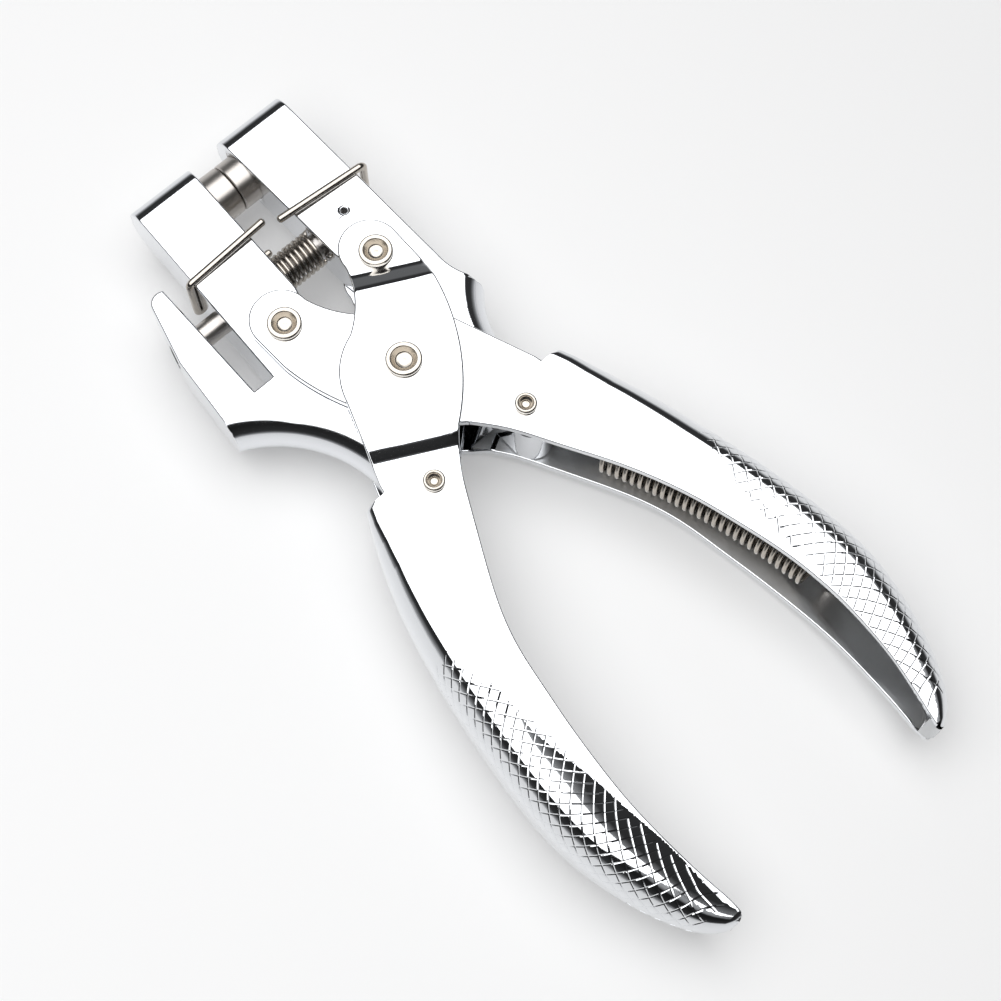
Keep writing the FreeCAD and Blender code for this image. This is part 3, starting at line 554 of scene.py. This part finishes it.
def grip_outer():
    """The outside of the grip with its knurl, ending at the mouth edges and at both end planes."""
    x, q, groove, inside, count = knurl_lattice()
    number = np.cumsum(inside) - 1
    bm = bmesh.new()
    depth = bm.verts.layers.float.new("groove")
    keep = np.nonzero(inside)[0]
    made = []
    for i in keep:
        v = bm.verts.new((x[i], q[i], 0))
        v[depth] = groove[i]
        made.append(v)
    grid = inside.reshape(count, count)
    full = grid[:-1, :-1] & grid[1:, :-1] & grid[1:, 1:] & grid[:-1, 1:]
    for i, j in zip(*np.nonzero(full)):
        a = i * count + j
        bm.faces.new([made[number[k]] for k in (a, a + count, a + count + 1, a + 1)])
    for co, no in (((0, 3, 0), (0, 1, 0)), ((0, -3, 0), (0, -1, 0)),
                   ((GRIP_START, 0, 0), (-1, 0, 0)), ((GRIP_END, 0, 0), (1, 0, 0))):
        bmesh.ops.bisect_plane(bm, geom=bm.verts[:] + bm.edges[:] + bm.faces[:], dist=1e-5,
                               plane_co=co, plane_no=no, clear_outer=True)
    nose_rows = [GRIP_END - NOSE * (1 - math.sin(math.pi / 2 * k / 8)) for k in range(0, 8)]
    cut_rows(bm, Vector((1, 0, 0)), [17.05, 17.15, 17.3, 17.5, 17.75, 18.0] + nose_rows)
    cut_rows(bm, Vector((0, 1, 0)), [-2, -1.5, -1, 1, 1.5, 2])
    flat = np.array([v.co[:2] for v in bm.verts])
    level = np.array([v[depth] for v in bm.verts])
    normal = skin_normals(flat[:, 0], flat[:, 1])
    point = grip_skin(flat[:, 0], flat[:, 1]) - normal * (level * GROOVE_DEPTH)[:, None]
    facing = bm.verts.layers.float_vector.new("facing")
    mouths = {1: [], -1: []}
    start = []
    for e in bm.edges:
        if not e.is_boundary:
            continue
        ends = [v.co.copy() for v in e.verts]
        for sign in (1, -1):
            if all(abs(c.y - 3 * sign) < 1e-3 for c in ends):
                mouths[sign].append(e)
        if all(abs(c.x - GRIP_START) < 1e-3 for c in ends):
            start.append(e)
    places = {v: tuple(flat[i]) for i, v in enumerate(bm.verts)}
    for v, co, direction in zip(bm.verts, point, normal):
        v.co = co
        v[facing] = direction
    smooth = bm.faces.layers.int.new("smooth")
    for f in bm.faces:
        levels = [v[depth] for v in f.verts]
        f[smooth] = 1 if max(levels) < 0.03 else 2
    mouth_rims(bm, mouths)
    end_face(bm, start, places)
    bmesh.ops.recalc_face_normals(bm, faces=bm.faces)
    turn_to(bm, (0, 1, 0))
    return bm


def mouth_rims(bm, mouths):
    """Roll the skin over the mouth's edges and back to the inner side of the wall."""
    rows = [(math.sin(a), 1 - math.cos(a), 0) for a in (math.pi / 6, math.pi / 3, math.pi / 2)]
    rows += [(math.cos(a), 1 - math.sin(a), 1) for a in (0, math.pi / 6, math.pi / 3, math.pi / 2)]
    for sign, chain in mouths.items():
        for across, fall_share, far in rows:
            made = bmesh.ops.extrude_edge_only(bm, edges=chain)["geom"]
            verts = [g for g in made if isinstance(g, bmesh.types.BMVert)]
            x = np.array([v.co.x for v in verts])
            inner, _, tall, _, _, _, crest, fall, width = grip_shape(x, float(sign))
            tall = tall - fall * np.clip((crest - inner - LIP) / width, 0, 1) ** FLANK_BEND
            fade = 1 - smooth_step(x, CHANNEL_END - 3, CHANNEL_END - 0.5)
            lip = LIP * fade if far else LIP * np.ones_like(x)
            y = inner + lip * (1 - across)
            floor = np.maximum(tall - WALL, tall * 0.4)
            z = floor + lip * fall_share if far else tall - lip * fall_share
            for v, co in zip(verts, np.stack((x, y, sign * z), 1)):
                v.co = co
            far_side = set(verts)
            chain = [g for g in made if isinstance(g, bmesh.types.BMEdge) and far_side.issuperset(g.verts)]
            clear_smooth(bm, made)


def clear_smooth(bm, made):
    """Extruded faces don't follow the skin's own normals."""
    smooth = bm.faces.layers.int["smooth"]
    for g in made:
        if isinstance(g, bmesh.types.BMFace):
            g[smooth] = 0


def end_face(bm, start, places):
    """The wall's thickness at the front end of the grip."""
    made = bmesh.ops.extrude_edge_only(bm, edges=start)["geom"]
    clear_smooth(bm, made)
    verts = [g for g in made if isinstance(g, bmesh.types.BMVert)]
    old = {}
    for v in verts:
        for e in v.link_edges:
            other = e.other_vert(v)
            if other in places:
                old[v] = places[other]
    q = np.array([old[v][1] for v in verts])
    for v, co in zip(verts, grip_skin(np.full(len(q), GRIP_START), q, WALL)):
        v.co = co


def grip_inside():
    """The channel's own surface, closed by a run-out near the tip, and the solid tip's inner face."""
    bm = bmesh.new()
    close = CHANNEL_END - (CHANNEL_END - CHANNEL_CLOSE) * (1 - np.sin(np.linspace(0, math.pi / 2, 18)))
    rows = np.concatenate((np.linspace(GRIP_START, CHANNEL_CLOSE - 0.5, 130), close))
    columns = np.concatenate((np.linspace(-3, -2, 12), np.linspace(-2, -1, 15)[1:], np.linspace(-1, 1, 8)[1:],
                              np.linspace(1, 2, 15)[1:], np.linspace(2, 3, 12)[1:]))
    rings = []
    for x in rows:
        rings.append([bm.verts.new(p) for p in grip_skin(np.full(len(columns), x), columns, WALL)])
    skin_rings(bm, rings, closed=False)
    web = np.concatenate((np.linspace(CHANNEL_END, GRIP_END - NOSE, 10),
                          GRIP_END - NOSE * (1 - np.sin(math.pi / 2 * np.arange(1, 9) / 8))))
    ends = []
    for side in (-1.0, 1.0):
        inner, _, tall, _, _, _, crest, fall, width = grip_shape(web, side)
        tall = tall - fall * np.clip((crest - inner - LIP) / width, 0, 1) ** FLANK_BEND
        ends.append(np.stack((web, inner, side * np.maximum(tall - WALL, tall * 0.4)), 1))
    inner_face = bmesh.new()
    rings = [[inner_face.verts.new(low + (high - low) * k) for k in np.linspace(0, 1, 7)]
             for low, high in zip(*ends)]
    skin_rings(inner_face, rings, closed=False)
    for skin in (bm, inner_face):
        turn_to(skin, (0, -1, 0))
    return merge(bm, inner_face)


def handle_mesh():
    bend = [a + d for a in (*FRONT_BEND, *REAR_BEND)
            for d in (-BEND_ROUND - 0.3, -BEND_ROUND, -BEND_ROUND / 2, 0, BEND_ROUND / 2, BEND_ROUND,
                      BEND_ROUND + 0.3)]
    outline = trace(PLATES, 0.45)
    holes = [ring(0, 0, 2.75), ring(-LINK[0], -LINK[1], 2.5)]
    flat = slab(outline, INNER_HALF, FLAT_TOP, 0.4, 0.4, holes, rows=4)
    cut_rows(flat, Vector((1, 0, 0)), [16.5, GRIP_START])
    drop_faces(flat, lambda c: c.x > GRIP_START)
    stepped = slab(outline, -FLAT_TOP, -INNER_HALF, 0.4, 0.4, holes, rows=4)
    cut_rows(stepped, LINK_DIRECTION, sorted(set(bend)))
    cut_rows(stepped, Vector((1, 0, 0)), [GRIP_START])
    seam = REAR_BEND[1] + BEND_ROUND + 0.3
    drop_faces(stepped, lambda c: c.x > GRIP_START and c.dot(LINK_DIRECTION) > seam)
    along = np.array([v.co.dot(LINK_DIRECTION) for v in stepped.verts])
    rise = 0
    for (start, end), sign in ((FRONT_BEND, 1), (REAR_BEND, -1)):
        rise = rise + sign * (knee(along, start, BEND_ROUND) - knee(along, end, BEND_ROUND)) / (end - start)
    for v, amount in zip(stepped.verts, rise):
        v.co.z -= STEP * float(amount)
    shell = grip_outer()

    def lower_flat(bm):
        return [f for f in bm.faces if max(v.co.z for v in f.verts) < -INNER_HALF + 0.06]
    cut_rows(shell, LINK_DIRECTION, [seam], lower_flat)
    drop = [f for f in lower_flat(shell) if f.calc_center_median().dot(LINK_DIRECTION) < seam
            and f.calc_center_median().y < 20.0]
    bmesh.ops.delete(shell, geom=drop, context="FACES")
    return merge(shell, flat, stepped)


def drop_faces(bm, unwanted):
    faces = [f for f in bm.faces if unwanted(f.calc_center_median())]
    bmesh.ops.delete(bm, geom=faces, context="FACES")


def handles():
    for part, draw, material in (("shell", handle_mesh, CHROME), ("channel", grip_inside, SATIN)):
        bm = draw()
        twin = bm.copy()
        for name, mesh, turned in (("upper_handle", bm, False), ("lower_handle", twin, True)):
            piece(mesh, f"{name}_{part}", name, [name], material, turned=turned)


# ---- jaws ------------------------------------------------------------------------------------------------

def jaw_mesh(corners, tip, holes):
    """A jaw: a thick plate with softly rounded rims and a tip that thins out."""
    bm = slab(trace(corners, 0.5), -JAW_HALF, JAW_HALF, 0.45, 0.45, holes, rows=4)
    rows = [tip + TIP_ROUND * (1 - math.cos(math.pi / 2 * k / 14)) for k in range(1, 15)]
    cut_rows(bm, Vector((1, 0, 0)), rows + [tip + TIP_ROUND + 0.3])
    for v in bm.verts:
        short = min(max(TIP_ROUND - (v.co.x - tip), 0), TIP_ROUND)
        v.co.z *= 1 - (TIP_ROUND - math.sqrt(TIP_ROUND ** 2 - short ** 2)) / JAW_HALF
    return bm


def rim_cutter(corners, bend):
    """The turned shape that leaves a full round along a jaw's concave rim."""
    row = next(i for i, corner in enumerate(corners) if corner[2] == -bend)
    centre = arc_centre(corners[row][:2], corners[row + 1][:2], -bend)
    reach, half = bend + RIM_ROUND + 0.1, RIM_ROUND + 0.1
    profile = [(0, -half), (reach, -half)]
    for k in range(21):
        angle = math.pi * (k / 20 - 0.5)
        profile.append((reach - RIM_ROUND * math.cos(angle), RIM_ROUND * math.sin(angle)))
    return shifted(lathe(profile + [(reach, half), (0, half)], 288), (*centre, 0))


def bored(thing, cutters):
    """Cut turned holes out of a finished piece."""
    bpy.context.view_layer.update()
    tools = []
    for bm in cutters:
        for v in bm.verts:
            v.co = (v.co + Vector((0, 0, MID))) * MM
        mesh = bpy.data.meshes.new("bore")
        bm.to_mesh(mesh)
        bm.free()
        tool = bpy.data.objects.new("bore", mesh)
        bpy.context.collection.objects.link(tool)
        tools.append(tool)
        cut = thing.modifiers.new("bore", "BOOLEAN")
        cut.operation, cut.object, cut.solver = "DIFFERENCE", tool, "EXACT"
    graph = bpy.context.evaluated_depsgraph_get()
    mesh = bpy.data.meshes.new_from_object(thing.evaluated_get(graph))
    thing.modifiers.clear()
    thing.data = mesh
    mesh.shade_smooth()
    mesh.set_sharp_from_angle(angle=math.radians(38))
    shade_evenly(thing)
    for tool in tools:
        bpy.data.objects.remove(tool)


def drill(radius, low, high, move, turn=None, count=48):
    return shifted(lathe([(0, low), (radius, low), (radius, high), (0, high)], count), move, turn)


def jaws():
    slot = [(21.3, 9.8, 0), (23.6, 9.8, 1.7), (25.3, 11.5, 1.7), (23.6, 13.2, 0), (21.3, 13.2, 1.7),
            (19.6, 11.5, 1.7)]
    lower_slot = [(x, y - 23.0, bend) for x, y, bend in slot]
    upper = jaw_mesh(UPPER_JAW, -63.2, [trace(slot, 0.5), ring(26.6, 11.5, 0.55, 16)])
    lower = jaw_mesh(LOWER_JAW, -62.4, [trace(lower_slot, 0.5)])
    upper_jaw = piece(upper, "upper_jaw_casting", "upper_jaw", ["upper_jaw"], CASTING)
    lower_jaw = piece(lower, "lower_jaw_casting", "lower_jaw", ["lower_jaw"], CASTING)
    sink = lathe([(0, 5.45), (0.85, 5.45), (1.0, 5.62), (1.45, 5.84), (1.45, 6.2), (0, 6.2)], 40)
    bored(upper_jaw, [
        rim_cutter(UPPER_JAW, UPPER_RIM), shifted(sink, (ROD_X, PIN_Y, 0)),
        drill(0.78, -3.6, 5.6, (ROD_X, PIN_Y, 0)), drill(5.25, 2.0, 15.6, (PUNCH_X, 0, 0), "y"),
        drill(3.01, 15.0, 18.4, (PUNCH_X, 0, 0), "y"), drill(2.51, 2.0, 17.0, (ROD_X, 0, 0), "y")])
    bored(lower_jaw, [
        rim_cutter(LOWER_JAW, LOWER_RIM), drill(2.55, -ROD_HOLE, -2.0, (ROD_X, 0, 0), "y"),
        drill(5.21, -9.6, -2.0, (PUNCH_X, 0, 0), "y"), drill(3.5, -15.5, -9.0, (PUNCH_X, 0, 0), "y"),
        drill(2.9, -6.3, 0, (PUNCH_X, -13.6, 0))])


# ---- rivets, pins and the punch ----------------------------------------------------------------------------

def rivet_profile(shank, head, cup, seat, high, deep):
    """A rivet with a clinched, cupped head above and a plain head below."""
    face, floor = seat + high, seat + high - deep
    hollow = [(0, floor + 0.1, 0), (0.35, floor + 0.06, 0.15), (0.8, floor, 0.2),
              (cup - 0.75, floor + 0.18, 0.3), (cup - 0.12, face - 0.35, 0.12), (cup + 0.1, face, 0.22)]
    upper = [(head - 0.12, face, 0.3), (head, face - 0.55, 0.25), (head - 0.1, seat, 0.08), (shank, seat, 0)]
    lower = [(shank, -seat, 0), (head, -seat, 0.06), (head, -face + 0.1, 0.35), (head - 1.2, -face, 0.3)]
    return rounded(hollow + upper + lower + [(0, -face, 0)])


def rivets():
    rows = [
        ("pivot_rivet", "lower_handle", (0, 0), 2.6, 3.55, 2.45, FLAT_TOP + STEP, 1.1, 1.5),
        ("upper_jaw_rivet", "lower_handle", (-LINK[0], LINK[1]), 2.4, 3.4, 2.3, FLAT_TOP, 1.1, 1.5),
        ("lower_jaw_rivet", "upper_handle", (-LINK[0], -LINK[1]), 2.4, 3.4, 2.3, FLAT_TOP, 1.1, 1.5),
        ("upper_slide_pin", "upper_handle", (LINK[0], LINK[1]), 1.6, 2.15, 1.4, FLAT_TOP, 1.1, 1.05),
        ("lower_slide_pin", "lower_handle", (LINK[0], -LINK[1]), 1.6, 2.15, 1.4, FLAT_TOP, 1.1, 1.05),
    ]
    for name, body, (x, y), shank, head, cup, seat, high, deep in rows:
        bm = shifted(lathe(rivet_profile(shank, head, cup, seat, high, deep)), (x, y, 0))
        piece(bm, f"{name}_cupped", body, [name], NICKEL)


def turned_ring(outer, inner, low, high, chamfer=0.35):
    """A bush along Y with chamfered ends and a bore, as a closed ring."""
    corners = [(inner, low), (outer - chamfer, low), (outer, low + chamfer), (outer, high - chamfer),
               (outer - chamfer, high), (inner, high)]
    bm = bmesh.new()
    rings = [[bm.verts.new((r * math.cos(a), r * math.sin(a), z)) for a in np.arange(72) * math.tau / 72]
             for r, z in corners]
    skin_rings(bm, rings + rings[:1])
    bmesh.ops.recalc_face_normals(bm, faces=bm.faces)
    return bm


def punch():
    bushes = [
        ("punch_sleeve", "turned", "punch_sleeve", PUNCH_X, 5.2, 3.05, 1.35, 8.8, 0.18),
        ("punch_pin", "tube", "upper_jaw", PUNCH_X, 3.0, 2.4, 2.2, 18.4, 0.15),
        ("die_bush", "turned", "lower_jaw", PUNCH_X, 5.2, 3.05, -9.6, 1.05, 0.18),
    ]
    for name, kind, body, x, outer, inner, low, high, chamfer in bushes:
        bm = shifted(turned_ring(outer, inner, low, high, chamfer), (x, 0, 0), "y")
        piece(bm, f"{name}_{kind}", body, [name], STEEL)
    rod = lathe(rounded([(0, -25.4, 0), (2.5, -25.4, 0.5), (2.5, 16.95, 0.3), (0, 16.95, 0)]))
    piece(shifted(rod, (ROD_X, 0, 0), "y"), "guide_rod_turned", "upper_jaw", ["guide_rod"],
          STEEL)
    # The pin's end sits deep in its bore and is given the near-black painted shade.
    pin = lathe(rounded([(0, -3.6, 0), (0.75, -3.6, 0.15), (0.75, 2.6, 0.2), (0, 2.6, 0)]), 40)
    piece(shifted(pin, (ROD_X, PIN_Y, 0)), "rod_cross_pin_end", "upper_jaw", ["rod_cross_pin"],
          PIN_SHADE_BLACK)
    anchor = lathe(rounded([(0, -7.9, 0), (1.3, -7.9, 0.2), (1.3, 7.9, 0.2), (0, 7.9, 0)]), 40)
    piece(shifted(anchor, ANCHOR), "spring_anchor_bar", "upper_handle", ["spring_anchor_pin"],
          STEEL)
    spacer = turned_ring(3.5, 2.62, -5.88, 5.88, 0.3)
    piece(spacer, "pivot_spacer_tube", "lower_handle", ["pivot_spacer"], STEEL)


# ---- wires and springs -------------------------------------------------------------------------------------

def bent(points, bend, step=0.25):
    """Points along straight runs joined by arcs of one radius."""
    points = [Vector(p) for p in points]
    path = [points[0]]
    for before, corner, after in zip(points, points[1:], points[2:]):
        come, leave = (before - corner).normalized(), (after - corner).normalized()
        half = come.angle(leave) / 2
        cut = bend / math.tan(half)
        centre = corner + (come + leave).normalized() * bend / math.sin(half)
        start, end = corner + come * cut - centre, corner + leave * cut - centre
        count = max(4, math.ceil(bend * (math.pi - 2 * half) / step))
        path += [centre + start.slerp(end, i / count) for i in range(count + 1)]
    return path + [points[-1]]


def gauge_wires():
    z = JAW_HALF + 0.82
    for name, body, free, corner in (("upper_gauge_wire", "upper_jaw", (-39.85, 2.0), (-38.2, 23.0)),
                                     ("lower_gauge_wire", "lower_jaw", (-41.7, 0.15), (-40.8, -19.95))):
        ends = [Vector((*free, s * z)) for s in (1, -1)]
        turns = [Vector((*corner, s * z)) for s in (1, -1)]
        ends = [e + (t - e).normalized() * 0.65 for e, t in zip(ends, turns)]
        path = bent([ends[0], turns[0], turns[1], ends[1]], 1.5)
        piece(tube(path, 0.8, 20), f"{name}_bent", body, [name], SPRING)


def coil(start, end, radius, wire, turns, closed=1.0):
    """A compression spring along Y: its end turns lie close together."""
    middle = turns - 2 * closed
    pitch = (end - start - wire - 2 * closed * wire * 1.02) / middle
    path = []
    for turn in np.linspace(0, turns, int(28 * turns)):
        y = min(turn, closed) * wire * 1.02 + min(max(turn - closed, 0), middle) * pitch
        y += max(turn - closed - middle, 0) * wire * 1.02
        angle = turn * math.tau
        path.append(((radius - wire / 2) * math.cos(angle), start + wire / 2 + y,
                     (radius - wire / 2) * math.sin(angle)))
    return tube(path, wire / 2, 12)


def springs():
    jaw = shifted(coil(-3.9, 5.5, 3.95, 0.8, 8.0), (ROD_X, 0, 0))
    thing = piece(jaw, "jaw_spring_coil", "upper_jaw", ["jaw_spring"], SPRING)
    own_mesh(thing)
    strip = shifted(coil(8.82, 15.58, 4.7, 0.7, 4.0), (PUNCH_X, 0, 0))
    thing = piece(strip, "stripper_spring_coil", "upper_jaw", ["stripper_spring"], SPRING)
    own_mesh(thing)

    first, middle, last = SPRING_LINE
    centre, radius = circle_through(first, middle, last)
    a0, a1 = (math.atan2(*(p - centre).yx) for p in (first, last))
    size, wire = 4.4 - 0.5, 0.5
    path = []
    for i in range(SPRING_TURNS * 24 + 1):
        a = a0 + (a1 - a0) * i / (SPRING_TURNS * 24)
        out = Vector((math.cos(a), math.sin(a), 0))
        around = math.tau * i / 24
        rise = Vector((0, 0, size * math.sin(around)))
        path.append(centre + out * (radius + size * math.cos(around)) + rise)
    along = Vector((math.sin(a1), -math.cos(a1), 0))
    tail = [path[-1] + along * 0.9 + Vector((0, 0, 0.75)), path[-1] + along * 2.2 + Vector((0, 0, 0.5))]
    tail += [ANCHOR + Vector((math.cos(a), math.sin(a), 0)) * 1.85 for a in np.linspace(1.7, -2.4, 16)]
    body = tube(path + tail, wire, 10)
    piece(body, "handle_spring_coil", "upper_handle", ["handle_spring"], SPRING)
    hook = bent([Vector((26.6, 11.5, -5.2)), Vector((26.6, 11.5, 5.0)), Vector((29.0, 13.4, 5.0)),
                 Vector((34.0, 17.0, 1.0)), first + Vector((3.0, 1.3, 0))], 0.45)
    piece(tube(hook, wire, 10), "handle_spring_hook", "upper_jaw", [], SPRING)


def circle_through(a, b, c):
    """Centre and radius of the circle through three points in plan."""
    matrix = np.array([[b.x - a.x, b.y - a.y], [c.x - a.x, c.y - a.y]]) * 2
    right = np.array([b.length_squared - a.length_squared, c.length_squared - a.length_squared])
    x, y = np.linalg.solve(matrix, right)
    centre = Vector((x, y, 0))
    return centre, (a - centre).length


# ---- studio ------------------------------------------------------------------------------------------------

def camera():
    azimuth, elevation = math.radians(47.83), math.radians(70.25)
    target = Vector((32.52, -4.93, 18.4)) * MM
    look = Vector((-math.sin(azimuth) * math.cos(elevation), math.cos(azimuth) * math.cos(elevation),
                   -math.sin(elevation)))
    data = bpy.data.cameras.new("camera")
    data.lens, data.sensor_width = 72.2, 36.0
    thing = bpy.data.objects.new("camera", data)
    bpy.context.collection.objects.link(thing)
    thing.location = target - look * 370.4 * MM
    thing.rotation_euler = look.to_track_quat("-Z", "Y").to_euler()
    bpy.context.scene.camera = thing


def softbox(name, place, target, size, power):
    data = bpy.data.lights.new(name, "AREA")
    data.shape, data.size, data.size_y, data.energy = "RECTANGLE", size[0], size[1], power
    thing = bpy.data.objects.new(name, data)
    bpy.context.collection.objects.link(thing)
    thing.location = place
    thing.rotation_euler = (Vector(target) - Vector(place)).to_track_quat("-Z", "Y").to_euler()


def room_light():
    """A dim room: dark above the horizon on the near side, lighter low down on the far side."""
    room = bpy.data.worlds.new("room")
    bpy.context.scene.world = room
    room.use_nodes = True
    tree = room.node_tree
    back = tree.nodes["Background"]
    place = tree.nodes.new("ShaderNodeTexCoord")
    parts = tree.nodes.new("ShaderNodeSeparateXYZ")
    tree.links.new(place.outputs["Generated"], parts.inputs[0])
    ramps = []
    for stops in (((0.0, 0.75), (0.08, 0.42), (0.2, 0.16), (0.31, 0.035), (0.72, 0.03), (0.85, 0.5)),
                  ((0.0, 0.45), (0.06, 0.16), (0.16, 0.03), (0.62, 0.012), (0.80, 0.012), (0.9, 0.3))):
        ramp = tree.nodes.new("ShaderNodeValToRGB")
        tree.links.new(parts.outputs["Z"], ramp.inputs[0])
        ramp.color_ramp.elements.remove(ramp.color_ramp.elements[1])
        for i, (at, level) in enumerate(stops):
            stop = ramp.color_ramp.elements[0] if i == 0 else ramp.color_ramp.elements.new(at)
            stop.position = at
            stop.color = (level, level * 1.01, level * 1.03, 1)
        ramps.append(ramp)
    side = tree.nodes.new("ShaderNodeVectorMath")
    side.operation = "DOT_PRODUCT"
    side.inputs[1].default_value = (-0.74, 0.67, 0)
    tree.links.new(place.outputs["Generated"], side.inputs[0])
    share = tree.nodes.new("ShaderNodeMapRange")
    share.inputs["From Min"].default_value = -0.5
    share.inputs["From Max"].default_value = 0.5
    tree.links.new(side.outputs["Value"], share.inputs["Value"])
    blend = tree.nodes.new("ShaderNodeMix")
    blend.data_type = "RGBA"
    tree.links.new(share.outputs["Result"], blend.inputs["Factor"])
    tree.links.new(ramps[1].outputs["Color"], blend.inputs[6])
    tree.links.new(ramps[0].outputs["Color"], blend.inputs[7])
    tree.links.new(blend.outputs[2], back.inputs["Color"])


def studio():
    bpy.context.scene.view_settings.view_transform = "Standard"
    room_light()
    softbox("overhead", (-0.12, -0.13, 0.62), (-0.12, -0.13, 0), (0.95, 1.06), 6.3)
    mesh = bpy.data.meshes.new("floor")
    mesh.from_pydata([(-2, -2, 0), (2, -2, 0), (2, 2, 0), (-2, 2, 0)], [], [(0, 1, 2, 3)])
    floor = bpy.data.objects.new("floor", mesh)
    bpy.context.collection.objects.link(floor)
    paper = bpy.data.materials.new("paper")
    paper.use_nodes = True
    shader = paper.node_tree.nodes["Principled BSDF"]
    shader.inputs["Base Color"].default_value = (0.70, 0.70, 0.70, 1)
    shader.inputs["Roughness"].default_value = 0.5
    shader.inputs["Emission Color"].default_value = (1, 1, 1, 1)
    shader.inputs["Emission Strength"].default_value = 0.2
    mesh.materials.append(paper)


camera()
studio()
handles()
jaws()
rivets()
punch()
gauge_wires()
springs()
